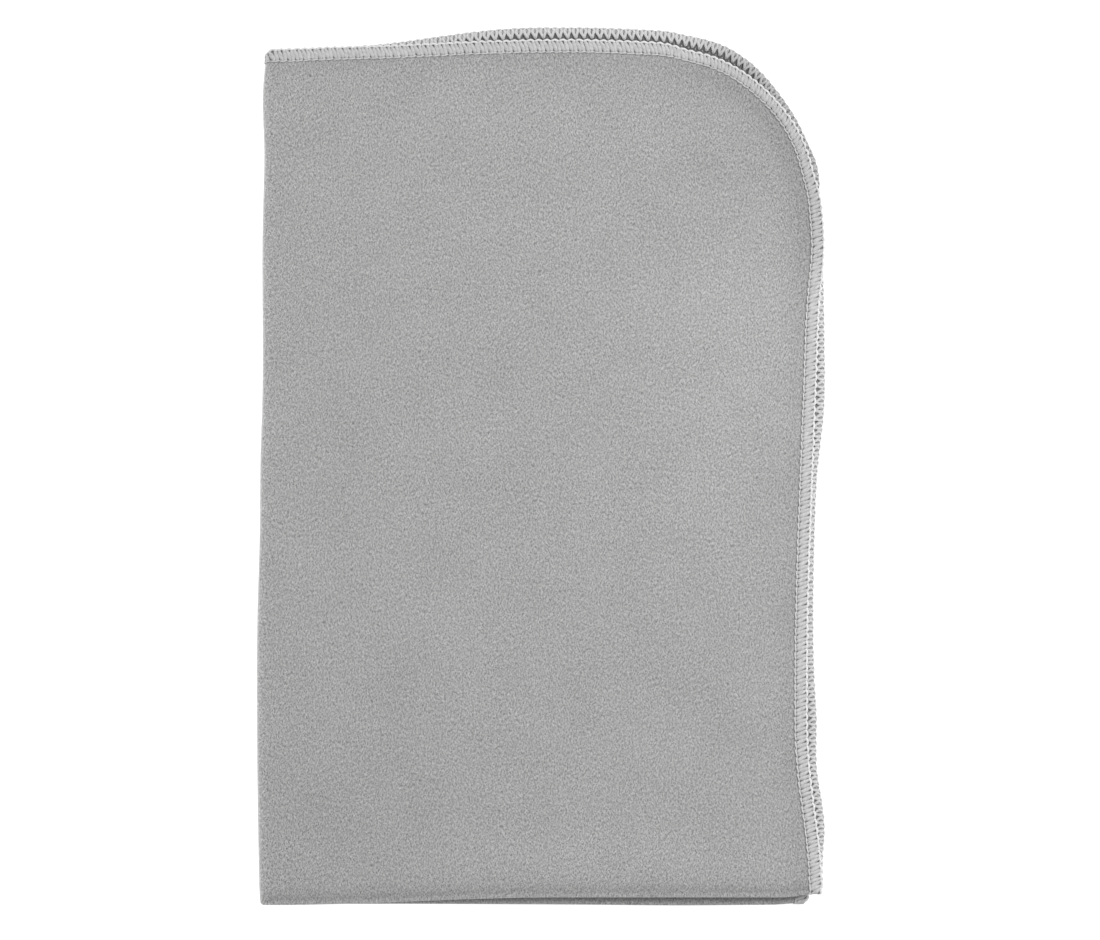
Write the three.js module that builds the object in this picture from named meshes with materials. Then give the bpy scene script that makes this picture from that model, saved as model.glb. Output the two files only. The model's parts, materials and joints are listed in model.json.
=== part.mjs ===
// A microfiber cleaning towel: one overlocked sheet of suede-like cloth, folded in half twice.
// It lies on its back, with +X to its free right edge, +Y to its free top edge and +Z up.
// The first fold is the crease along the bottom, and the second is the spine along the left.
// The plies from the top down are front, second, third and back. The front and second plies
// are the upper leaf, which opens about the spine like the cover of a book.
import * as THREE from 'three';

// The flat sheet, in millimetres
const sheetWidth = 400;
const sheetLength = 610;
const cornerRadius = 58;

// The cloth and the threads of its edging
const coreThickness = 0.4; // cloth squeezed between the threads
const threadThickness = 0.3; // looper threads, through the edging
const threadClearance = 0.2; // between a thread and the cloth or another thread
const needleWidth = 0.5; // needle thread, across the edging
const edgingWidth = 4.4; // from the needle line to the outer edge
const napStep = 0.2; // width over which the nap rises beside the needle line

// How tightly the sheet is folded
const seamGap = 0.3; // where the sheet is parted along a crease
const creaseAir = 0.3; // slack inside the bottom crease, beyond half the seam
const spineAir = 0.35; // slack inside the spine, beyond half the seam

// How the plies lie on each other
const spineShift = 2.3; // the spine's distance from the sheet's middle line
const spinePucker = 1.8; // width that the inner plies take up inside the spine
const skewLift = 3.4; // how much higher the upper leaf lies, away from the spine
const skewRun = 105; // width over which it climbs there
const peekLift = 4.6; // how far the second ply shows above the front ply
const peekStart = 45; // distance from the spine where it begins to show
const peekRun = 55; // width over which it comes into view
const waistDepth = 4.5; // how far the free right edge is drawn in
const waistRise = 61; // height above the crease over which it draws in
const waistTop = 76; // height where it begins to come out again
const waistRun = 167; // height over which it comes out

// How finely curved stretches are divided
const creaseSteps = 3;
const widthSteps = 4;
const lengthSteps = 7;
const cornerSteps = 6;

// Heights of a ply's middle surface, measured from the plane between the two leaves
const pileHalf = coreThickness / 2 + threadClearance + threadThickness;
const creaseRadius = seamGap / 2 + creaseAir + pileHalf;
const innerHeight = seamGap / 2 + spineAir + pileHalf;
const creaseHeight = innerHeight + creaseRadius;
const outerHeight = creaseHeight + creaseRadius;

// Distances in from the outer edge
const rawEdge = threadThickness + threadClearance;
const napEdge = edgingWidth + threadClearance;

const cloth = new THREE.MeshStandardMaterial({ color: 0xa9a9a9, roughness: 1, metalness: 0 });
const thread = new THREE.MeshStandardMaterial({ color: 0xd0d0d0, roughness: 0.85, metalness: 0 });

const plies = [
  { name: 'front', upper: true, outer: true },
  { name: 'second', upper: true, outer: false },
  { name: 'third', upper: false, outer: false },
  { name: 'back', upper: false, outer: true },
];

// Evenly spaced values from start, up to but without end
function spread(start, end, count) {
  return Array.from({ length: count }, (_, i) => start + ((end - start) * i) / count);
}

// Lines across one side of a quarter. Values from -1 to 0 run round the half of a bend that
// belongs to the quarter. Then come the flat stretch, the rounded corner and the edging.
function gridLines(side, flatSteps) {
  return [
    ...spread(-1, 0, creaseSteps),
    ...spread(0, side - cornerRadius, flatSteps),
    ...spread(side - cornerRadius, side - napEdge - napStep, cornerSteps),
    side - napEdge - napStep,
    side - napEdge,
    side - rawEdge,
  ];
}
const edgingLines = 3;

// One quarter of the sheet: its size, its grid, and where its points lie in the folded towel.
// A point is given by x from the spine, y from the crease, and its height over the ply's
// middle surface, counted away from the plane between the leaves.
function foldedQuarter({ upper, outer }) {
  const height = outer ? outerHeight : innerHeight;
  const halfSheet = sheetWidth / 2 + (upper ? spineShift : -spineShift);
  const width = halfSheet - (outer ? 0 : spinePucker) - (Math.PI / 2) * height;
  const length = sheetLength / 2 - (Math.PI / 2) * creaseRadius;

  // Turns square rings about the free corner into round ones at the same distance from the edge
  function roundCorner(x, y) {
    const fromRight = width - x;
    const fromTop = length - y;
    if (fromRight >= cornerRadius || fromTop >= cornerRadius) return [x, y];
    const radius = cornerRadius - Math.min(fromRight, fromTop);
    const share = (cornerRadius - Math.max(fromRight, fromTop)) / radius;
    const near = radius * Math.sin((Math.PI / 4) * share);
    const far = radius * Math.cos((Math.PI / 4) * share);
    const [dx, dy] = fromTop <= fromRight ? [near, far] : [far, near];
    return [width - cornerRadius + dx, length - cornerRadius + dy];
  }

  // How far the cloth has crept sideways and along, from lying folded
  function creep(x, y) {
    const drawnIn = THREE.MathUtils.smoothstep(y, 0, waistRise);
    const comesOut = THREE.MathUtils.smoothstep(y, waistTop, waistTop + waistRun);
    const climb = THREE.MathUtils.smoothstep(x, 0, skewRun);
    const show = THREE.MathUtils.smoothstep(x, peekStart, peekStart + peekRun);
    const sideways = (-waistDepth * drawnIn * (1 - comesOut) * x) / width;
    const skew = upper ? skewLift * climb : 0;
    const peek = upper && !outer ? (peekLift * show * y) / length : 0;
    return [sideways, skew + peek];
  }

  // Round the crease first, as the first fold, and then round the spine
  function lay(x, y, rise) {
    const [sideways, along] = creep(Math.max(x, 0), Math.max(y, 0));
    let placedY = y;
    let level = height + rise;
    if (y < 0) {
      const radius = creaseRadius + (outer ? rise : -rise);
      const turn = -y * Math.acos(seamGap / 2 / radius);
      const reach = radius * Math.cos(turn);
      placedY = -radius * Math.sin(turn);
      level = creaseHeight + (outer ? reach : -reach);
    }
    let placedX = x;
    let placedZ = level;
    if (x < 0) {
      const turn = -x * Math.acos(seamGap / 2 / level);
      placedX = -level * Math.sin(turn);
      placedZ = level * Math.cos(turn);
    }
    return [placedX + sideways, placedY + along, upper ? placedZ : -placedZ];
  }

  const columns = gridLines(width, widthSteps);
  const rows = gridLines(length, lengthSteps);
  return { width, length, columns, rows, roundCorner, lay, faceUp: outer ? 1 : -1 };
}

// A closed geometry from points and triangles, turned so that its faces point out
function closedGeometry(points, triangles) {
  const [a, b, c] = [new THREE.Vector3(), new THREE.Vector3(), new THREE.Vector3()];
  let volume = 0;
  for (const [i, j, k] of triangles) {
    volume += a.fromArray(points[i]).dot(b.fromArray(points[j]).cross(c.fromArray(points[k])));
  }
  const facing = volume > 0 ? triangles : triangles.map(([i, j, k]) => [i, k, j]);
  const geometry = new THREE.BufferGeometry();
  geometry.setAttribute('position', new THREE.Float32BufferAttribute(points.flat(), 3));
  geometry.setIndex(facing.flat());
  geometry.computeVertexNormals();
  return geometry;
}

// The cloth of one quarter, thinner under its edging, with its half of each bend
function clothPanel(quarter) {
  const { width, length, columns, rows, roundCorner, lay } = quarter;
  const points = [];
  for (const side of [1, -1]) {
    for (const y of rows) {
      for (const x of columns) {
        const fromEdge = Math.min(width - x, length - y);
        const half = fromEdge > napEdge + napStep / 2 ? pileHalf : coreThickness / 2;
        points.push(lay(...roundCorner(x, y), side * half));
      }
    }
  }
  const across = columns.length;
  const layer = across * rows.length;
  const triangles = [];
  const addQuad = (i, j, k, l) => triangles.push([i, j, k], [i, k, l]);
  for (let row = 0; row + 1 < rows.length; row += 1) {
    const first = row * across;
    for (let column = 0; column + 1 < across; column += 1) {
      const corner = first + column;
      addQuad(corner, corner + 1, corner + across + 1, corner + across);
      addQuad(layer + corner, layer + corner + across, layer + corner + across + 1, layer + corner + 1);
    }
    const last = first + across - 1;
    addQuad(first, first + across, layer + first + across, layer + first);
    addQuad(last, layer + last, layer + last + across, last + across);
  }
  const top = layer - across;
  for (let column = 0; column + 1 < across; column += 1) {
    addQuad(column, layer + column, layer + column + 1, column + 1);
    addQuad(top + column, top + column + 1, layer + top + column + 1, layer + top + column);
  }
  return closedGeometry(points, triangles);
}

// A thread of one quarter: a section of [distance from the outer edge, height] points, run
// along the top edge from the spine, round the corner and down the right edge to the crease
function threadRun(quarter, section) {
  const { width, length, columns, rows, roundCorner, lay } = quarter;
  const stations = [
    ...columns.slice(0, -edgingLines).map((x) => (inset) => [x, length - inset]),
    (inset) => [width - inset, length - inset],
    ...rows.slice(0, -edgingLines).reverse().map((y) => (inset) => [width - inset, y]),
  ];
  const points = stations.flatMap((station) =>
    section.map(([inset, rise]) => lay(...roundCorner(...station(inset)), rise)),
  );
  const sides = section.length;
  const triangles = [];
  for (let ring = 0; ring + 1 < stations.length; ring += 1) {
    for (let side = 0; side < sides; side += 1) {
      const here = ring * sides + side;
      const beside = ring * sides + ((side + 1) % sides);
      triangles.push([here, beside, beside + sides], [here, beside + sides, here + sides]);
    }
  }
  const outline = section.map(([inset, rise]) => new THREE.Vector2(inset, rise));
  const lastRing = (stations.length - 1) * sides;
  const turnsLeft = !THREE.ShapeUtils.isClockWise(outline);
  for (const [i, j, k] of THREE.ShapeUtils.triangulateShape(outline, [])) {
    const [second, third] = turnsLeft ? [k, j] : [j, k];
    triangles.push([i, second, third], [lastRing + i, lastRing + third, lastRing + second]);
  }
  return closedGeometry(points, triangles);
}

// A looper thread lies on one side of the edging, flush with the nap, and wraps the raw edge
function looperSection(side, reach) {
  const outside = pileHalf;
  const inside = pileHalf - threadThickness;
  const rim = threadClearance / 2;
  return [
    [0, side * rim],
    [0, side * outside],
    [reach, side * outside],
    [reach, side * inside],
    [threadThickness, side * inside],
    [threadThickness, side * rim],
  ];
}

// The needle thread lies on the face side, along the inner border of the upper looper
function needleSection(side) {
  const outside = pileHalf;
  const inside = pileHalf - threadThickness;
  return [
    [edgingWidth - needleWidth, side * inside],
    [edgingWidth - needleWidth, side * outside],
    [edgingWidth, side * outside],
    [edgingWidth, side * inside],
  ];
}

function addPiece(group, name, geometry, material) {
  const mesh = new THREE.Mesh(geometry, material);
  mesh.name = name;
  group.add(mesh);
}

// The four plies, each with its stretch of the three threads
const folded = new THREE.Group();
for (const ply of plies) {
  const quarter = foldedQuarter(ply);
  const { faceUp } = quarter;
  const upperReach = edgingWidth - needleWidth - threadClearance;
  addPiece(folded, `${ply.name}_panel`, clothPanel(quarter), cloth);
  addPiece(folded, `${ply.name}_needle_thread`, threadRun(quarter, needleSection(faceUp)), thread);
  addPiece(folded, `${ply.name}_upper_looper`, threadRun(quarter, looperSection(faceUp, upperReach)), thread);
  addPiece(folded, `${ply.name}_lower_looper`, threadRun(quarter, looperSection(-faceUp, edgingWidth)), thread);
}

// The towel rests on z = 0, centred over the origin
const box = new THREE.Box3().setFromObject(folded);
const centre = box.getCenter(new THREE.Vector3());
folded.position.set(-centre.x, -centre.y, -box.min.z);

const towel = new THREE.Group();
towel.add(folded);

export default towel;
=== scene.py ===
import json
import math
import bpy
import numpy as np
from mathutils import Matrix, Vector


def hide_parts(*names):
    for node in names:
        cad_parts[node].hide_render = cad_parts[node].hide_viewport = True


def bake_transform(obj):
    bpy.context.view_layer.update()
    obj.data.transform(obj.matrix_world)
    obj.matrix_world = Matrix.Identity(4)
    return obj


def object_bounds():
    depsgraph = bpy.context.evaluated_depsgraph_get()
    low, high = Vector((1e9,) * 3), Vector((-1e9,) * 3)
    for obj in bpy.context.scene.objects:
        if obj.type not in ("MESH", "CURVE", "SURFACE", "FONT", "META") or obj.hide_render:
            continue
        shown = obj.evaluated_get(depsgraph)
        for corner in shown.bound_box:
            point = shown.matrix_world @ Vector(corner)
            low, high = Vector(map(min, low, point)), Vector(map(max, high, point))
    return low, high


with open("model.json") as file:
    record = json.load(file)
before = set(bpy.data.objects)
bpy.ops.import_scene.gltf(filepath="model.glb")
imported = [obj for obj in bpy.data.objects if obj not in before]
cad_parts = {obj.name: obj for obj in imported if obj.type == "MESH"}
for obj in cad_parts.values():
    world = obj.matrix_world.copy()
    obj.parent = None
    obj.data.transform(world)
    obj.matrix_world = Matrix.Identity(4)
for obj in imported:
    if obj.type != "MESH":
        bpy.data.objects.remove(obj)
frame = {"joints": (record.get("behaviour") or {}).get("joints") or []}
cad_low, cad_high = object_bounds()

# The sheet of cloth: one rectangle of suede-like microfibre with rounded corners, brushed to a short
# nap on both sides. It is folded in half along the bottom crease, then along the spine at the left,
# and lies as it was put down: a little askew, drawn in at the waist and slack between its folds.
mm = 0.001
sheet_width = 400 * mm
sheet_length = 610 * mm
corner_radius = 58 * mm
cloth_half = 0.5 * mm
squeezed_half = 0.3 * mm

# The spine's fold lies off the sheet's middle, and the stitches draw the raw edge in
spine_shift = 2.3 * mm
seam_draw = 0.3 * mm
right_edge = sheet_width / 2 + spine_shift - seam_draw
left_edge = spine_shift + seam_draw - sheet_width / 2
end_edge = sheet_length / 2 - seam_draw

# Heights of the plies over the plane between the two leaves, and the sizes of the two bends
outer_height = 3.15 * mm
inner_height = 1.45 * mm
crease_height = 2.15 * mm
crease_radius = 0.75 * mm
crease_ramp = 5.5 * mm
spine_pucker = 1.0 * mm
spine = next(joint for joint in frame["joints"] if joint["name"] == "spine_fold")
mid_height = spine["pos_m"][2]
spine_x = cad_low.x + outer_height + cloth_half
crease_y = cad_low.y + cloth_half
leaf_width = right_edge - math.pi / 2 * outer_height
leaf_length = end_edge

# How far the spine leans in, and how far the second ply's side edge waves in and out, at distances
# from the crease, in millimetres
spine_line = [
    (0, 1.2), (27, 0.7), (60, 0.3), (100, 0.4), (133, 1.3), (157, 1.5),
    (180, 2.2), (240, 2.3), (267, 2.9), (291, 2.5), (300, 3.3), (306, 3.8),
]
second_edge = [
    (0, -1.6), (14, -0.7), (24, 1.0), (31, 1.3), (44, 0.9), (62, 1.8), (75, 1.1),
    (120, 0.1), (148, 0.2), (172, 1.7), (201, 0.7), (216, 0.0), (242, -1.8),
    (258, -1.7), (266, -2.9), (273, -3.2), (284, -3.2), (294, -2.4), (306, -1.9),
]
# Each swell of the front ply: its middle, direction in degrees, half length, half width and height
swells = [
    (124, 122, -38, 39, 16, 1.2),
    (168, 173, -52, 14, 3.6, -0.5),
    (132, 52, -45, 11, 3.2, 0.35),
    (54, 94, -40, 32, 25, 0.8),
]


def ease(value, start, end):
    """A smooth rise from 0 at the start to 1 at the end."""
    share = np.clip((value - start) / (end - start), 0, 1)
    return share * share * (3 - 2 * share)


def hump(value, middle, half_width):
    """A smooth hump of height 1 about its middle."""
    return np.exp(-((value - middle) / half_width) ** 2)


def through(points, value):
    """A smooth line through a few points of (place, amount), both in millimetres."""
    places, amounts = np.array(points).T * mm
    slopes = np.gradient(amounts, places)
    value = np.clip(value, places[0], places[-1])
    first = np.clip(np.searchsorted(places, value, side="right") - 1, 0, len(places) - 2)
    span = places[first + 1] - places[first]
    share = (value - places[first]) / span
    rest = 1 - share
    start = rest * rest * ((1 + 2 * share) * amounts[first] + share * span * slopes[first])
    end = share * share * ((1 + 2 * rest) * amounts[first + 1] - rest * span * slopes[first + 1])
    return start + end


def from_edge(across, along):
    """How far in from the sheet's outline a flat point lies."""
    middle = (right_edge + left_edge) / 2
    beyond_side = np.abs(across - middle) - (right_edge - left_edge) / 2 + corner_radius
    beyond_end = np.abs(along) - end_edge + corner_radius
    outside = np.hypot(np.maximum(beyond_side, 0), np.maximum(beyond_end, 0))
    inside = np.minimum(np.maximum(beyond_side, beyond_end), 0)
    return corner_radius - outside - inside


def crease_bend(along):
    """Distance from the bottom crease, and height over the plane between the leaves."""
    run = np.abs(along)
    turn = np.minimum(run / crease_radius, math.pi / 2)
    flat_run = np.maximum(run - math.pi / 2 * crease_radius, 0)
    distance = crease_radius * (1 - np.cos(turn)) + flat_run
    lift = crease_radius * np.sin(turn)
    ramp = ease(distance, crease_radius, crease_radius + crease_ramp)
    over = crease_height + lift + ramp * (outer_height - crease_height - crease_radius)
    under = crease_height - lift - ramp * (crease_height - crease_radius - inner_height)
    return distance, np.where(along > 0, over, under)


def spine_bend(across, height):
    """Distance from the middle of the spine's bend, and rise over the plane between the leaves."""
    pressed = 0.25
    pucker = spine_pucker * (outer_height - height) / (outer_height - inner_height)
    quarter = math.pi / 2 * height + pucker
    turn = math.pi / 2 * np.clip(np.abs(across) / quarter, 0, 1)
    pressed_side = np.cos(turn) * (1 + pressed * np.sin(turn) ** 2)
    pressed_top = np.sin(turn) * (1 + pressed * np.cos(turn) ** 2)
    distance = np.maximum(np.abs(across) - quarter, 0) - height * pressed_side
    return distance, np.sign(across) * height * pressed_top


def creep(x, y, inset, upper, inner):
    """How far the cloth has crept sideways and along, from lying folded edge to edge.
    The upper plies are the front and the second one, the inner plies the second and the third."""
    share = y / leaf_length
    front = upper & ~inner
    second = upper & inner

    # Sideways, in proportion to the width: the waist, the top, the crease and the side edges
    waist = -4.5 * mm * ease(y, 4 * mm, 62 * mm) * (1 - ease(y, 76 * mm, 243 * mm))
    flare = np.where(upper, 0.7, -1.1) * mm * (1 - ease(y, 0, 45 * mm))
    drawn = -0.7 * mm * hump(y, 290 * mm, 16 * mm)
    tuck = np.where(front, -0.5 * mm * hump(y, 259 * mm, 8 * mm), 0)
    short = np.where(upper, 0, -0.5 * mm) * ease(y, 40 * mm, 120 * mm)
    by_width = waist + flare + drawn + tuck + short

    # Sideways at one edge only: the spine's lean, the second ply's wave and the others' bulge
    lean = through(spine_line, y) * (1 - ease(x, 0, 60 * mm))
    wave = through(second_edge, y) * ease(x, 120 * mm, leaf_width)
    bulge = 1.6 * mm * hump(y, 232 * mm, 16 * mm)
    edge_only = np.where(second, wave, bulge * x / leaf_width)

    # Along: the upper plies lie askew and droop to the side edge, and the second ply peeks out
    skew = (2.75 + 0.65 * share) * mm * ease(x, 0, 104 * mm)
    skew = skew + 0.45 * mm * share * hump(x, 22 * mm, 16 * mm)
    dip = 0.5 * mm * hump(x, 151 * mm, 7 * mm)
    droop = share * (1.5 * mm * ease(x, 110 * mm, 160 * mm) + dip)
    by_side = ease(x, leaf_width - 14 * mm, leaf_width)
    droop = droop - 1.4 * mm * by_side * (1 - ease(y, 0, 24 * mm))
    slope = 4.4 * mm * ease(x, 25 * mm, 94 * mm)
    peek = share * (slope + 0.5 * mm * ease(x, 155 * mm, 170 * mm))
    hem = 0.3 * hump(x, 45 * mm, 45 * mm) - 0.3 * hump(x, 148 * mm, 25 * mm)
    hem = hem + 0.5 * ease(x, leaf_width - 16 * mm, leaf_width - 6 * mm)
    askew = np.where(upper, skew - droop, hem * mm * (1 - share)) + np.where(second, peek, 0)

    # Towards the middle of the corner: the front ply's edging draws in there
    past_x = x - leaf_width + corner_radius
    past_y = y - leaf_length + corner_radius
    bow = -0.65 * mm * (1 - ease(inset, 0, 5 * mm)) / corner_radius
    bow = np.where(front, bow, 0) * ease(past_x, 0, 13 * mm) * ease(past_y, 0, 13 * mm)
    sideways = by_width * x / leaf_width + lean + edge_only + bow * past_x
    return sideways, askew + bow * past_y


def slack(x, y, inset, upper, inner):
    """How far the plies sink or swell between the folds and the edging."""
    open_part = ease(inset, 5 * mm, 22 * mm) * ease(x, 4 * mm, 30 * mm) * ease(y, 5 * mm, 28 * mm)
    swell = 0
    for middle_x, middle_y, direction, length, width, height in swells:
        angle = math.radians(direction)
        to_x = x - middle_x * mm
        to_y = y - middle_y * mm
        run = (to_x * math.cos(angle) + to_y * math.sin(angle)) / (length * mm)
        off = (to_y * math.cos(angle) - to_x * math.sin(angle)) / (width * mm)
        swell = swell + height * mm * np.exp(-run * run - off * off)
    rising_wave = np.sin(x / (11 * mm) + y / (19 * mm))
    falling_wave = np.sin(y / (14 * mm) - x / (23 * mm) + 1.1)
    drift = 0.12 * mm * (rising_wave + falling_wave)

    # The cloth rolls over the crease, and its edging lifts at the corner and at the waist
    roll = 0.45 * mm * ease(y, 1 * mm, 9 * mm) * (1 - ease(y, 9 * mm, 26 * mm))
    roll = roll * ease(x, 2 * mm, 12 * mm)
    corner = np.exp(-((x - 181 * mm) ** 2 + (y - 269 * mm) ** 2) / (45 * mm) ** 2)
    waist = np.exp(-((x - 188 * mm) ** 2 + (y - 52 * mm) ** 2) / (28 * mm) ** 2)
    lifted = (2.4 * corner + 0.6 * waist) * mm * (1 - ease(inset, 3 * mm, 12 * mm))

    # The stitches gather the edging in small uneven waves
    around = (x - y) / mm
    gather = np.sin(around / 4.1) + np.sin(around / 6.7 + 2) + np.sin(around / 2.9 + 4)
    seam = 0.06 * mm * gather * (1 - ease(inset, 4 * mm, 16 * mm)) * ease(x, 3 * mm, 15 * mm)

    front = open_part * (swell + drift - 0.5 * mm) + roll + lifted + seam
    back = -0.4 * mm * open_part
    outer_plies = np.where(upper, front, back)
    inner_plies = np.where(upper, -0.1, -0.6) * mm * open_part
    return np.where(inner, inner_plies, outer_plies)


def folded(across, along):
    """Where a point of the flat sheet's middle surface lies in the folded towel."""
    y, height = crease_bend(along)
    x, rise = spine_bend(across, height)
    # Both folds pull the edging in where they cross it
    y = y - 2.4 * mm * hump(across, 0, 2.3 * mm) * ease(along, end_edge - 6 * mm, end_edge)
    to_side = np.where(across > 0, right_edge - across, across - left_edge)
    x = x - 0.9 * mm * hump(along, 0, 1.3 * mm) * (1 - ease(to_side, 0, 6 * mm))
    upper = across > 0
    inner = along < 0
    past_spine = np.maximum(x, 0)
    inset = from_edge(across, along)
    sideways, askew = creep(past_spine, y, inset, upper, inner)
    sink = slack(past_spine, y, inset, upper, inner)
    place = [spine_x + x + sideways, crease_y + y + askew, mid_height + rise + sink]
    return np.stack(place, axis=-1)


def cloth_frame(across, along):
    """A point of the folded middle surface and the direction out of the sheet's face there."""
    step = 0.04 * mm
    by_across = folded(across + step, along) - folded(across - step, along)
    by_along = folded(across, along + step) - folded(across, along - step)
    face = np.cross(by_across, by_along)
    face /= np.linalg.norm(face, axis=-1, keepdims=True)
    return folded(across, along), face


def grid_lines(low, high, low_step, high_step, first, fine):
    """Lines across the flat sheet, close together at its fold and at its two edges.
    The first one beside the fold and the fine step there are in millimetres."""
    at_edge = np.array([0.45, 1.4, 2.6, 3.7, 4.2, 4.6, 5.0, 5.5, 6.2, 7.2, 8.6, 10.5, 13]) * mm
    in_bend = [np.arange(first, 0.8, fine), np.arange(0.8, 6, 0.35)]
    at_fold = np.concatenate([*in_bend, [6.6, 7.6, 9, 11, 13.5]]) * mm
    edge_run = at_edge[-1]
    fold_run = at_fold[-1]
    low_count = round((-fold_run - low - edge_run) / low_step) + 1
    high_count = round((high - edge_run - fold_run) / high_step) + 1
    below = np.linspace(low + edge_run, -fold_run, low_count)
    above = np.linspace(fold_run, high - edge_run, high_count)
    lines = [low + at_edge, below, -at_fold, at_fold, above, high - at_edge]
    return np.unique(np.concatenate(lines).round(7))


def round_corners(across, along):
    """Turns square rings about each corner of the sheet into round ones, as far from the edge."""
    side = np.where(across > 0, right_edge, left_edge)
    end = np.where(along > 0, end_edge, -end_edge)
    to_side = np.abs(side - across)
    to_end = np.abs(end - along)
    radius = corner_radius - np.minimum(to_side, to_end)
    share = (corner_radius - np.maximum(to_side, to_end)) / np.maximum(radius, 1e-9)
    near = radius * np.sin(math.pi / 4 * share)
    far = radius * np.cos(math.pi / 4 * share)
    by_side = np.where(to_side < to_end, far, near)
    by_end = np.where(to_side < to_end, near, far)
    inside = (to_side < corner_radius) & (to_end < corner_radius)
    rounded_across = side + np.sign(across) * (by_side - corner_radius)
    rounded_along = end + np.sign(along) * (by_end - corner_radius)
    return np.where(inside, rounded_across, across), np.where(inside, rounded_along, along)


def new_piece(name, points, faces, corner_uv):
    """A smooth mesh piece with its own flat coordinates, in metres."""
    mesh = bpy.data.meshes.new(name)
    mesh.from_pydata(points.tolist(), [], faces.tolist())
    mesh.shade_smooth()
    layer = mesh.uv_layers.new(name="flat")
    layer.data.foreach_set("uv", corner_uv.astype(np.float32).ravel())
    piece = bpy.data.objects.new(name, mesh)
    bpy.context.scene.collection.objects.link(piece)
    return piece


def bend_at_spine(piece):
    """Bakes the piece's place into its points, where it lies."""
    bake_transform(piece)


def add_node(tree, kind, sockets, **settings):
    """A shader node with its settings, and its sockets set to values or linked."""
    node = tree.nodes.new(kind)
    for name, value in settings.items():
        setattr(node, name, value)
    for name, value in sockets.items():
        if isinstance(value, bpy.types.NodeSocket):
            tree.links.new(value, node.inputs[name])
        else:
            node.inputs[name].default_value = value
    return node


def flat_noise(tree, turn, grains, detail):
    """Noise on the flat cloth or thread, turned, with so many grains to a metre each way."""
    flat = add_node(tree, "ShaderNodeUVMap", {}, uv_map="flat").outputs["UV"]
    grain = (1 / grains[0], 1 / grains[1], 1)
    turned = {"Vector": flat, "Rotation": (0, 0, turn), "Scale": grain}
    placed = add_node(tree, "ShaderNodeMapping", turned, vector_type="TEXTURE")
    noise = {"Vector": placed.outputs["Vector"], "Scale": 1.0, "Detail": detail, "Roughness": 0.6}
    return add_node(tree, "ShaderNodeTexNoise", noise).outputs[0]


def combined(tree, operation, first, second):
    """The sum, product or larger one of two values in a material."""
    return add_node(tree, "ShaderNodeMath", {0: first, 1: second}, operation=operation).outputs[0]


def suede_microfibre():
    """A matt grey nap: two crossing grains under a finer fuzz, in patches that differ a little."""
    material = bpy.data.materials.new("suede_microfibre")
    material.use_nodes = True
    tree = material.node_tree
    surface = tree.nodes["Principled BSDF"]
    rising = flat_noise(tree, turn=1.1, grains=(900, 2200), detail=0.0)
    falling = flat_noise(tree, turn=-1.1, grains=(950, 2300), detail=0.0)
    crepe = combined(tree, "MAXIMUM", rising, falling)
    fibres = flat_noise(tree, turn=0.3, grains=(2900, 2900), detail=0.0)
    fuzz = combined(tree, "MULTIPLY", fibres, 0.7)
    nap = combined(tree, "ADD", fuzz, crepe)
    clouds = flat_noise(tree, turn=0.0, grains=(45, 45), detail=2.0)
    patches = combined(tree, "MULTIPLY", clouds, 0.1)
    tone = combined(tree, "ADD", patches, nap)
    shades = {"Value": tone, "From Min": 0.62, "From Max": 1.32, "To Min": 0.18, "To Max": 0.63}
    shade = add_node(tree, "ShaderNodeMapRange", shades).outputs["Result"]
    # The nap's grey is multiplied by the painted light and shade that the sheet carries on its points
    painted_light = add_node(tree, "ShaderNodeAttribute", {}, attribute_name="pile_shade").outputs["Fac"]
    shade = combined(tree, "MULTIPLY", shade, painted_light)
    bump = add_node(tree, "ShaderNodeBump", {"Height": nap, "Strength": 0.6, "Distance": 0.2 * mm})
    tree.links.new(shade, surface.inputs["Base Color"])
    tree.links.new(bump.outputs["Normal"], surface.inputs["Normal"])
    surface.inputs["Roughness"].default_value = 0.95
    surface.inputs["Specular IOR Level"].default_value = 0.15
    surface.inputs["Sheen Weight"].default_value = 0.6
    surface.inputs["Sheen Roughness"].default_value = 0.35
    return material


# The upper leaf's plies have closer lines, and no line lies on the spine's own middle
lower_step = 4.5 * mm
upper_step = 2.6 * mm
across_lines = grid_lines(left_edge, right_edge, lower_step, upper_step, first=0.15, fine=0.08)
along_lines = grid_lines(-end_edge, end_edge, lower_step, upper_step, first=0.0, fine=0.1)
across, along = round_corners(*np.meshgrid(across_lines, along_lines, indexing="ij"))
middle, face_out = cloth_frame(across, along)
inset = from_edge(across, along)
napped = ease(inset, 4.15 * mm, 4.85 * mm)
half = (squeezed_half + (cloth_half - squeezed_half) * napped)[..., None]
face_points = (middle + half * face_out).reshape(-1, 3)
reverse_points = (middle - half * face_out).reshape(-1, 3)
points = np.concatenate([face_points, reverse_points])
rows, columns = across.shape
one_side = rows * columns
index = np.arange(one_side).reshape(rows, columns)
cells = [index[:-1, :-1], index[1:, :-1], index[1:, 1:], index[:-1, 1:]]
face_cells = np.stack(cells, axis=-1).reshape(-1, 4)
reverse_cells = face_cells[:, ::-1] + one_side
edge_loop = np.concatenate([index[:-1, 0], index[-1, :-1], index[:0:-1, -1], index[0, :0:-1]])
next_loop = np.roll(edge_loop, -1)
edge_cells = np.stack([edge_loop, edge_loop + one_side, next_loop + one_side, next_loop], axis=-1)
faces = np.concatenate([face_cells, reverse_cells, edge_cells])

# The flat coordinates leave room at the spine's middle, where the cloth draws out to a band as it
# opens, so that the nap isn't smeared there. The reverse has a place of its own beside the face.
from_axis = middle[np.searchsorted(across_lines, 0), :, 0] - spine["pos_m"][0]
stretched = across + from_axis * np.tanh(across / (0.1 * mm))
reverse_place = [1.0, 0.3]
flat_face = np.stack([stretched, along], axis=-1).reshape(-1, 2)
flat_uv = np.concatenate([flat_face, flat_face + reverse_place])
cloth = new_piece("microfibre_sheet", points, faces, flat_uv[faces.ravel()])
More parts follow.
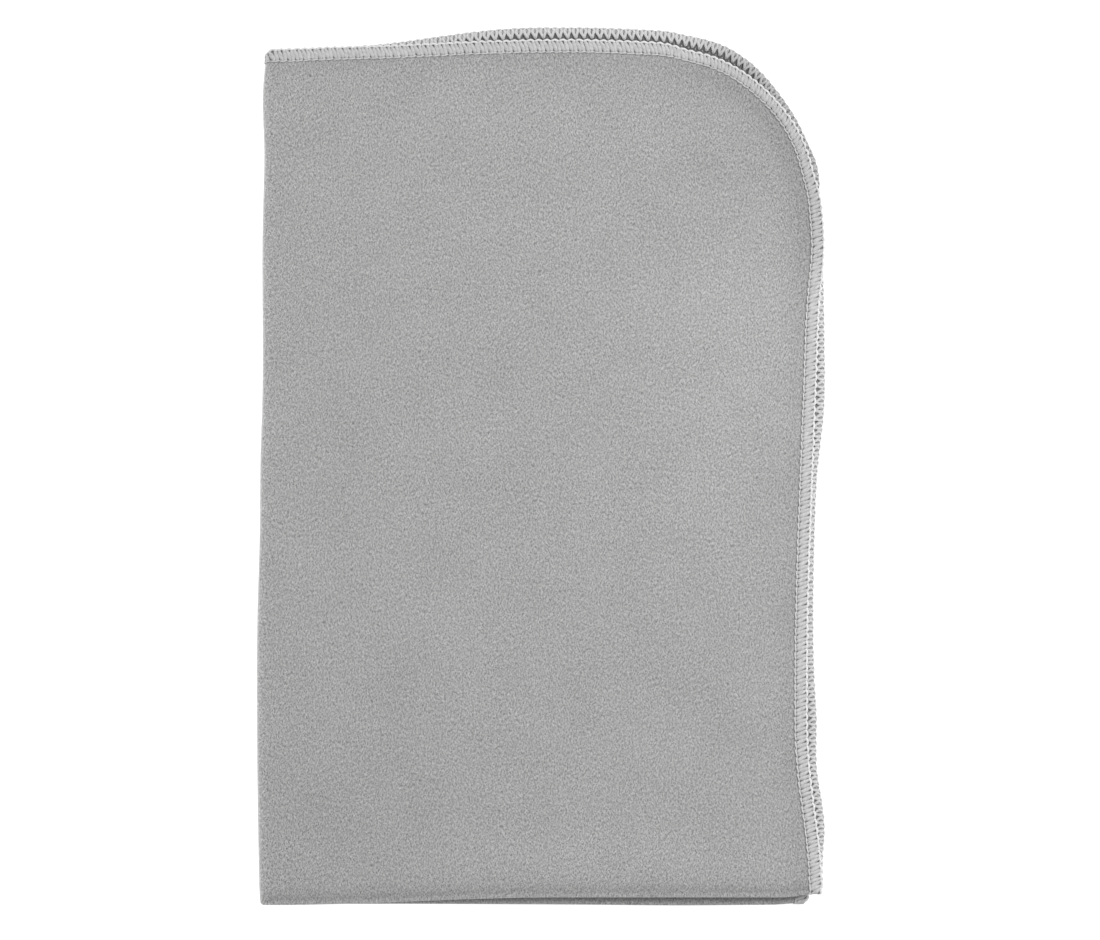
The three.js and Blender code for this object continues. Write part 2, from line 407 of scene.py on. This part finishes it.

# Painted light and shade on the nap: painted highlights on the spine's and the crease's bends,
# and painted shade where the cloth turns down to the crease, where the lower leaf lies shut under
# the upper one's crease, and beside the stitches. Under the stitches, the painted shades are
# shares of the open nap's.
spine_painted_highlight = 0.7
crease_painted_highlight = 0.45
shut_painted_shade = 0.32
turned_painted_shade = 0.2
seam_side_painted_shade = 0.06
under_stitch_painted_shade = 0.62
reverse_stitch_painted_shade = 0.42
side_painted_shade_lift = 0.38
# Patches of painted light and shade on the face: middle, half width, half length, amount
painted_light_patches = [
    (176, 200, 30, 60, 0.08), (155, 290, 42, 12, -0.04), (196, 235, 8, 35, -0.06),
    (178, 262, 32, 32, -0.08), (30, 25, 45, 35, -0.05),
]
# Painted highlights on the two bends, and painted shade by the crease and beside the stitches
at_spine = hump(across, 0, 2.4 * mm) * ease(along, -1.0 * mm, 0.5 * mm)
at_crease = np.where(across > 0, hump(along, 0, 1.1 * mm), 0) * (1 - at_spine)
shut = np.where(across < 0, hump(along, -3.2 * mm, 1.7 * mm), 0) * (1 - at_spine)
turned = np.where((across > 0) & (along > 0), hump(along, 1.6 * mm, 2.4 * mm), 0)
by_seam = np.where(along > 0, hump(inset, 5 * mm, 5 * mm), 0)
shade = 1 + spine_painted_highlight * at_spine + crease_painted_highlight * at_crease
shade = shade - shut_painted_shade * shut - turned_painted_shade * turned - seam_side_painted_shade * by_seam
for middle_x, middle_y, wide, long, amount in painted_light_patches:
    off = ((across / mm - middle_x) / wide) ** 2 + ((along / mm - middle_y) / long) ** 2
    shade = shade + amount * np.exp(-off)
# Under the stitches the cloth is painted darker, as painted shade between the threads, most on the
# reverse and less there along the side edges
painted_light_on_face = shade * (under_stitch_painted_shade + (1 - under_stitch_painted_shade) * napped)
reverse_seam_painted_shade = reverse_stitch_painted_shade + side_painted_shade_lift * (1 - ease(np.abs(along), 225 * mm, 262 * mm))
painted_shade_on_reverse = reverse_seam_painted_shade + (1 - reverse_seam_painted_shade) * ease(inset, 6 * mm, 9 * mm)
# The sheet carries its painted highlights and painted shade as an attribute of its points
pile_shade = cloth.data.attributes.new("pile_shade", "FLOAT", "POINT")
both_sides = np.concatenate([painted_light_on_face.ravel(), painted_shade_on_reverse.ravel()])
pile_shade.data.foreach_set("value", both_sides.astype(np.float32))
cloth.data.materials.append(suede_microfibre())
plies = ("front", "second", "third", "back")
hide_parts(*(f"{ply}_panel" for ply in plies))
bend_at_spine(cloth)

# The needle thread of the overlocked edge: a fine twisted polyester thread that runs round the sheet
# along the inner line of the edging. It shows as one short stitch after another on the face, and dips
# to the reverse between them.
stitches = 663
end_run = right_edge - left_edge - 2 * corner_radius
side_run = 2 * (end_edge - corner_radius)
sides = [
    # A straight side's start, its direction, the way out of the sheet and its length
    ((left_edge + corner_radius, end_edge), (1, 0), (0, 1), end_run),
    ((right_edge, end_edge - corner_radius), (0, -1), (1, 0), side_run),
    ((right_edge - corner_radius, -end_edge), (-1, 0), (0, -1), end_run),
    ((left_edge, corner_radius - end_edge), (0, 1), (-1, 0), side_run),
]
corner_run = math.pi / 2 * corner_radius
outline_run = sum(side[3] for side in sides) + 4 * corner_run
pitch = outline_run / stitches
random = np.random.default_rng(seed=20)


def outline(run):
    """Points of the sheet's outline, clockwise on its face, and the way out of the sheet there."""
    left = np.mod(run, outline_run)
    point = np.zeros((*run.shape, 2))
    out = np.zeros((*run.shape, 2))
    # A point that has found its side is set far back, so that no later side takes it
    far_back = 1e3
    for side in sides:
        start, heading, way_out = (np.array(pair) for pair in side[:3])
        length = side[3]
        on_side = (left >= 0) & (left < length)
        on_corner = (left >= length) & (left < length + corner_run)
        turn = ((left - length) / corner_radius)[..., None]
        round_out = way_out * np.cos(turn) + heading * np.sin(turn)
        centre = start + heading * length - way_out * corner_radius
        point[on_side] = (start + heading * left[..., None])[on_side]
        point[on_corner] = (centre + corner_radius * round_out)[on_corner]
        out[on_side] = way_out
        out[on_corner] = round_out[on_corner]
        found = left < length + corner_run
        left = np.where(found, left - far_back, left - length - corner_run)
    return point, out


def stitch_line(stitch, samples, sway):
    """A thread's centre line: the same points in each stitch, a little uneven, on a smooth curve.
    A point is (place in the stitch, distance from the edge, height over the cloth's middle,
    width, thickness), the first in stitches and the others in millimetres."""
    order = np.arange(-1, stitches + 1)
    uneven = random.normal(0, 1, (stitches, len(stitch), 5)) * sway
    line = np.array(stitch)[None] + uneven[order % stitches]
    line[..., 0] += order[:, None]
    line = line.reshape(-1, 5)
    first = len(stitch)
    last = len(stitch) * (stitches + 1)
    before, here, after, beyond = (line[first + shift:last + shift, None] for shift in (-1, 0, 1, 2))
    share = (np.arange(samples) / samples)[None, :, None]
    curve = here + share / 2 * (after - before)
    curve = curve + share**2 * (before - 2.5 * here + 2 * after - beyond / 2)
    curve = curve + share**3 * (1.5 * here - before / 2 - 1.5 * after + beyond / 2)
    return curve.reshape(-1, 5)


def thread_piece(name, line, around, reverse_painted_shade):
    """A closed tube along a thread's centre line, flattened against the edging that it wraps."""
    edge, out = outline(line[:, 0] * pitch)
    flat = edge - out * line[:, 1:2] * mm
    # Every point is kept close to a fold, and every third one elsewhere
    to_fold = np.min(np.abs(flat), axis=1)
    kept = (to_fold < 5 * mm) | (np.arange(len(line)) % 3 == 0)
    line, out, flat, to_fold = line[kept], out[kept], flat[kept], to_fold[kept]
    inset, height, width, thickness = line[:, 1:].T * mm
    # The thread spreads a little where a fold bends it
    width = width * (1 + 0.25 * hump(to_fold, 0, 1.8 * mm))
    surface, face_out = cloth_frame(flat[:, 0], flat[:, 1])
    outward = folded(*(flat + out * 0.05 * mm).T) - surface
    outward /= np.linalg.norm(outward, axis=-1, keepdims=True)
    centre = surface + height[:, None] * face_out

    # The thread lies flat on the cloth, and turns with the raw edge that it wraps
    core = 1.0 * mm
    away = np.stack([np.maximum(core - inset, 0), height], axis=-1)
    away /= np.linalg.norm(away, axis=-1, keepdims=True)
    up = away[:, :1] * outward + away[:, 1:] * face_out
    ahead = np.roll(centre, -1, axis=0) - np.roll(centre, 1, axis=0)
    ahead /= np.linalg.norm(ahead, axis=-1, keepdims=True)
    beside = np.cross(ahead, up)
    beside /= np.linalg.norm(beside, axis=-1, keepdims=True)
    up = np.cross(beside, ahead)
    angle = np.arange(around) / around * 2 * math.pi
    wide = beside[:, None] * (width[:, None] / 2 * np.cos(angle))[..., None]
    thick = up[:, None] * (thickness[:, None] / 2 * np.sin(angle))[..., None]
    points = (centre[:, None] + wide + thick).reshape(-1, 3)

    # No point lies on the plane between the leaves, where it would open only part of the way
    rise = points[:, 2] - mid_height
    clear = 0.02 * mm
    points[:, 2] = mid_height + np.where(np.abs(rise) < clear, np.copysign(clear, rise), rise)
    rings = len(line)
    ring, side = np.meshgrid(np.arange(rings), np.arange(around), indexing="ij")
    next_ring = (ring + 1) % rings
    next_side = (side + 1) % around
    corners = [(ring, side), (next_ring, side), (next_ring, next_side), (ring, next_side)]
    cells = [at_ring * around + at_side for at_ring, at_side in corners]
    faces = np.stack(cells, axis=-1).reshape(-1, 4)
    step = np.linalg.norm(np.roll(centre, -1, axis=0) - centre, axis=-1)
    length = np.concatenate([[0], np.cumsum(step)])
    girth = np.arange(around + 1) / around * 2 * mm
    places = [(ring, side), (ring + 1, side), (ring + 1, side + 1), (ring, side + 1)]
    flat_corners = [np.stack([length[run], girth[turn]], axis=-1) for run, turn in places]
    corner_uv = np.stack(flat_corners, axis=2).reshape(-1, 2)
    piece = new_piece(name, points, faces, corner_uv)

    # Painted light and shade: the reverse is painted darker, as painted shade. The side edge's thread
    # is painted a little lighter, and painted darker towards the corner, most of all on the reverse.
    side_painted_light = 0.07
    corner_painted_shade = 0.14
    on_face = ease(height, -0.3 * mm, 0.3 * mm)
    shade = reverse_painted_shade + (1 - reverse_painted_shade) * on_face
    by_side = ease(flat[:, 0], 150 * mm, 180 * mm)
    to_corner = ease(np.abs(flat[:, 1]), 205 * mm, 255 * mm)
    corner_painted_dim = (corner_painted_shade + corner_painted_shade * (1 - on_face)) * to_corner
    shade = shade * (1 + by_side * (side_painted_light - corner_painted_dim))
    thread_shade = piece.data.attributes.new("thread_shade", "FLOAT", "POINT")
    thread_shade.data.foreach_set("value", np.repeat(shade, around).astype(np.float32))
    return piece


def polyester_thread(name, tint, streaks, contrast):
    """A matt grey thread with fine streaks of fibres along it."""
    material = bpy.data.materials.new(name)
    material.use_nodes = True
    tree = material.node_tree
    surface = tree.nodes["Principled BSDF"]
    fibres = flat_noise(tree, turn=0.35, grains=streaks, detail=3.0)
    ramp = add_node(tree, "ShaderNodeValToRGB", {"Fac": fibres})
    dark = tint * (1 - contrast)
    ramp.color_ramp.elements[0].position = 0.3
    ramp.color_ramp.elements[0].color = (dark, dark, dark, 1)
    ramp.color_ramp.elements[1].position = 0.7
    ramp.color_ramp.elements[1].color = (tint, tint, tint, 1)
    bump = add_node(tree, "ShaderNodeBump", {"Height": fibres, "Strength": 0.5, "Distance": 0.1 * mm})
    # The thread's grey is multiplied by the painted light and shade that each thread carries
    shade = add_node(tree, "ShaderNodeAttribute", {}, attribute_name="thread_shade").outputs["Fac"]
    grey = combined(tree, "MULTIPLY", ramp.outputs["Color"], shade)
    tree.links.new(grey, surface.inputs["Base Color"])
    tree.links.new(bump.outputs["Normal"], surface.inputs["Normal"])
    surface.inputs["Roughness"].default_value = 0.9
    surface.inputs["Specular IOR Level"].default_value = 0.1
    surface.inputs["Sheen Weight"].default_value = 0.05
    surface.inputs["Sheen Roughness"].default_value = 0.4
    return material


needle_stitch = [
    (-0.41, 4.24, 0.60, 0.50, 0.38),
    (-0.07, 4.16, 0.76, 0.54, 0.40),
    (0.25, 4.00, 0.66, 0.50, 0.38),
    (0.35, 3.94, 0.25, 0.40, 0.36),
    (0.39, 3.90, -0.55, 0.40, 0.36),
    (0.42, 3.70, -0.75, 0.40, 0.36),
    (0.45, 3.94, -0.55, 0.40, 0.36),
    (0.49, 4.16, 0.25, 0.40, 0.36),
]
needle_line = stitch_line(needle_stitch, samples=6, sway=(0.015, 0.04, 0.03, 0.02, 0.02))
needle_thread = thread_piece("needle_thread", needle_line, around=6, reverse_painted_shade=0.8)
twisted_thread = polyester_thread("twisted_thread", tint=0.7, streaks=(900, 6000), contrast=0.18)
needle_thread.data.materials.append(twisted_thread)
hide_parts(*(f"{ply}_needle_thread" for ply in plies))
bend_at_spine(needle_thread)

# The upper looper thread of the overlocked edge: a fluffy textured polyester thread on the face of the
# edging. In each stitch it slants in from the raw edge, turns under the needle thread and slants back,
# and its legs fill the edging.
upper_stitch = [
    (-0.50, 0.60, -0.46, 0.95, 0.44),
    (-0.13, 1.30, -0.44, 1.05, 0.44),
    (-0.24, 0.03, -0.12, 1.30, 0.50),
    (-0.20, 0.42, 0.44, 1.15, 0.50),
    (-0.02, 2.07, 0.62, 1.80, 0.48),
    (0.13, 3.48, 0.50, 1.60, 0.46),
    (0.26, 3.95, 0.38, 0.50, 0.34),
    (0.57, 3.95, 0.38, 0.50, 0.34),
    (0.70, 3.48, 0.50, 1.60, 0.46),
    (0.47, 2.07, 0.62, 1.80, 0.48),
    (0.20, 0.42, 0.44, 1.15, 0.50),
    (0.24, 0.03, -0.12, 1.30, 0.50),
    (0.13, 1.30, -0.44, 1.05, 0.44),
]
upper_line = stitch_line(upper_stitch, samples=6, sway=(0.02, 0.05, 0.02, 0.06, 0.03))
upper_looper = thread_piece("upper_looper_thread", upper_line, around=5, reverse_painted_shade=0.96)
textured_thread = polyester_thread("textured_thread", tint=0.66, streaks=(500, 2800), contrast=0.30)
upper_looper.data.materials.append(textured_thread)
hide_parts(*(f"{ply}_upper_looper" for ply in plies))
bend_at_spine(upper_looper)

# The lower looper thread of the overlocked edge: a thinner textured thread on the reverse of the
# edging. It runs in open Vs between the needle line and the raw edge, and arches along the edge
# between them, where the two loopers interlock.
lower_stitch = [
    (-0.10, 3.45, -0.54, 1.05, 0.44),
    (0.03, 2.68, -0.66, 1.00, 0.48),
    (0.24, 1.70, -0.68, 1.12, 0.48),
    (0.40, 0.80, -0.64, 1.00, 0.46),
    (0.14, 0.00, -0.20, 0.70, 0.46),
    (0.07, 0.20, 0.42, 0.85, 0.70),
    (0.50, -0.21, 0.44, 0.95, 0.84),
    (0.93, 0.20, 0.42, 0.85, 0.70),
    (0.88, 0.00, -0.20, 0.70, 0.46),
    (0.66, 0.80, -0.64, 1.00, 0.46),
    (0.76, 1.70, -0.68, 1.12, 0.48),
    (0.84, 2.68, -0.66, 1.00, 0.48),
]
lower_line = stitch_line(lower_stitch, samples=6, sway=(0.02, 0.04, 0.02, 0.04, 0.03))
lower_looper = thread_piece("lower_looper_thread", lower_line, around=6, reverse_painted_shade=0.84)
soft_thread = polyester_thread("soft_thread", tint=0.83, streaks=(900, 4000), contrast=0.16)
lower_looper.data.materials.append(soft_thread)
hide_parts(*(f"{ply}_lower_looper" for ply in plies))
bend_at_spine(lower_looper)

# The studio: a plain white table in a pale room, with a broad soft lamp at the upper right and a low
# one at the left, which lights the spine's fold. The camera looks straight down on the towel through
# a long lens.
table_reach = 4
table_grey = 0.8
# The table glows a little by itself, and more to the camera, which makes it plain white there
table_glow = 0.3
seen_glow = 0.4
room_light = 0.545
picture_width = 392.7 * mm
camera_height = 4.0
camera_x = 3.39 * mm
camera_y = -1.43 * mm


def seen_share(tree):
    """1 for what the camera sees directly, in a mirror or through glass, and 0 for light."""
    path = add_node(tree, "ShaderNodeLightPath", {})
    seen = combined(tree, "MAXIMUM", path.outputs["Is Camera Ray"], path.outputs["Is Glossy Ray"])
    return combined(tree, "MAXIMUM", seen, path.outputs["Is Transmission Ray"])


table = bpy.data.meshes.new("floor")
table_corners = [
    (-table_reach, -table_reach, 0), (table_reach, -table_reach, 0),
    (table_reach, table_reach, 0), (-table_reach, table_reach, 0),
]
table.from_pydata(table_corners, [], [(0, 1, 2, 3)])
floor = bpy.data.objects.new("floor", table)
bpy.context.scene.collection.objects.link(floor)
white_table = bpy.data.materials.new("white_table")
white_table.use_nodes = True
table_tree = white_table.node_tree
table_surface = table_tree.nodes["Principled BSDF"]
table_surface.inputs["Base Color"].default_value = (table_grey, table_grey, table_grey, 1)
table_surface.inputs["Roughness"].default_value = 1.0
table_surface.inputs["Specular IOR Level"].default_value = 0.0
table_surface.inputs["Emission Color"].default_value = (1, 1, 1, 1)
glow = combined(table_tree, "MULTIPLY", seen_share(table_tree), seen_glow)
glow = combined(table_tree, "ADD", glow, table_glow)
table_tree.links.new(glow, table_surface.inputs["Emission Strength"])
table.materials.append(white_table)

world = bpy.data.worlds.new("pale_room")
bpy.context.scene.world = world
world.use_nodes = True
sky = world.node_tree.nodes["Background"]
sky.inputs["Color"].default_value = (1, 1, 1, 1)
extra = combined(world.node_tree, "MULTIPLY", seen_share(world.node_tree), 1 - room_light)
brightness = combined(world.node_tree, "ADD", extra, room_light)
world.node_tree.links.new(brightness, sky.inputs["Strength"])

lamps = [
    # A lamp's name, its place, its width and its power in watts
    ("soft_lamp", (0.79, 0.44, 0.79), 0.7, 8.6),
    ("low_lamp", (-2.0, 0.1, 0.45), 1.2, 14.5),
]
for lamp_name, place, lamp_width, watts in lamps:
    light = bpy.data.lights.new(lamp_name, "AREA")
    light.shape = "DISK"
    light.size = lamp_width
    light.energy = watts
    lamp = bpy.data.objects.new(lamp_name, light)
    lamp.location = place
    lamp.rotation_euler = lamp.location.to_track_quat("Z", "Y").to_euler()
    bpy.context.scene.collection.objects.link(lamp)

lens = bpy.data.cameras.new("camera")
lens.sensor_width = 36
lens.lens = lens.sensor_width * camera_height / picture_width
camera = bpy.data.objects.new("camera", lens)
camera.location = (camera_x, camera_y, camera_height)
bpy.context.scene.collection.objects.link(camera)
bpy.context.scene.camera = camera
bpy.context.scene.view_settings.view_transform = "Standard"
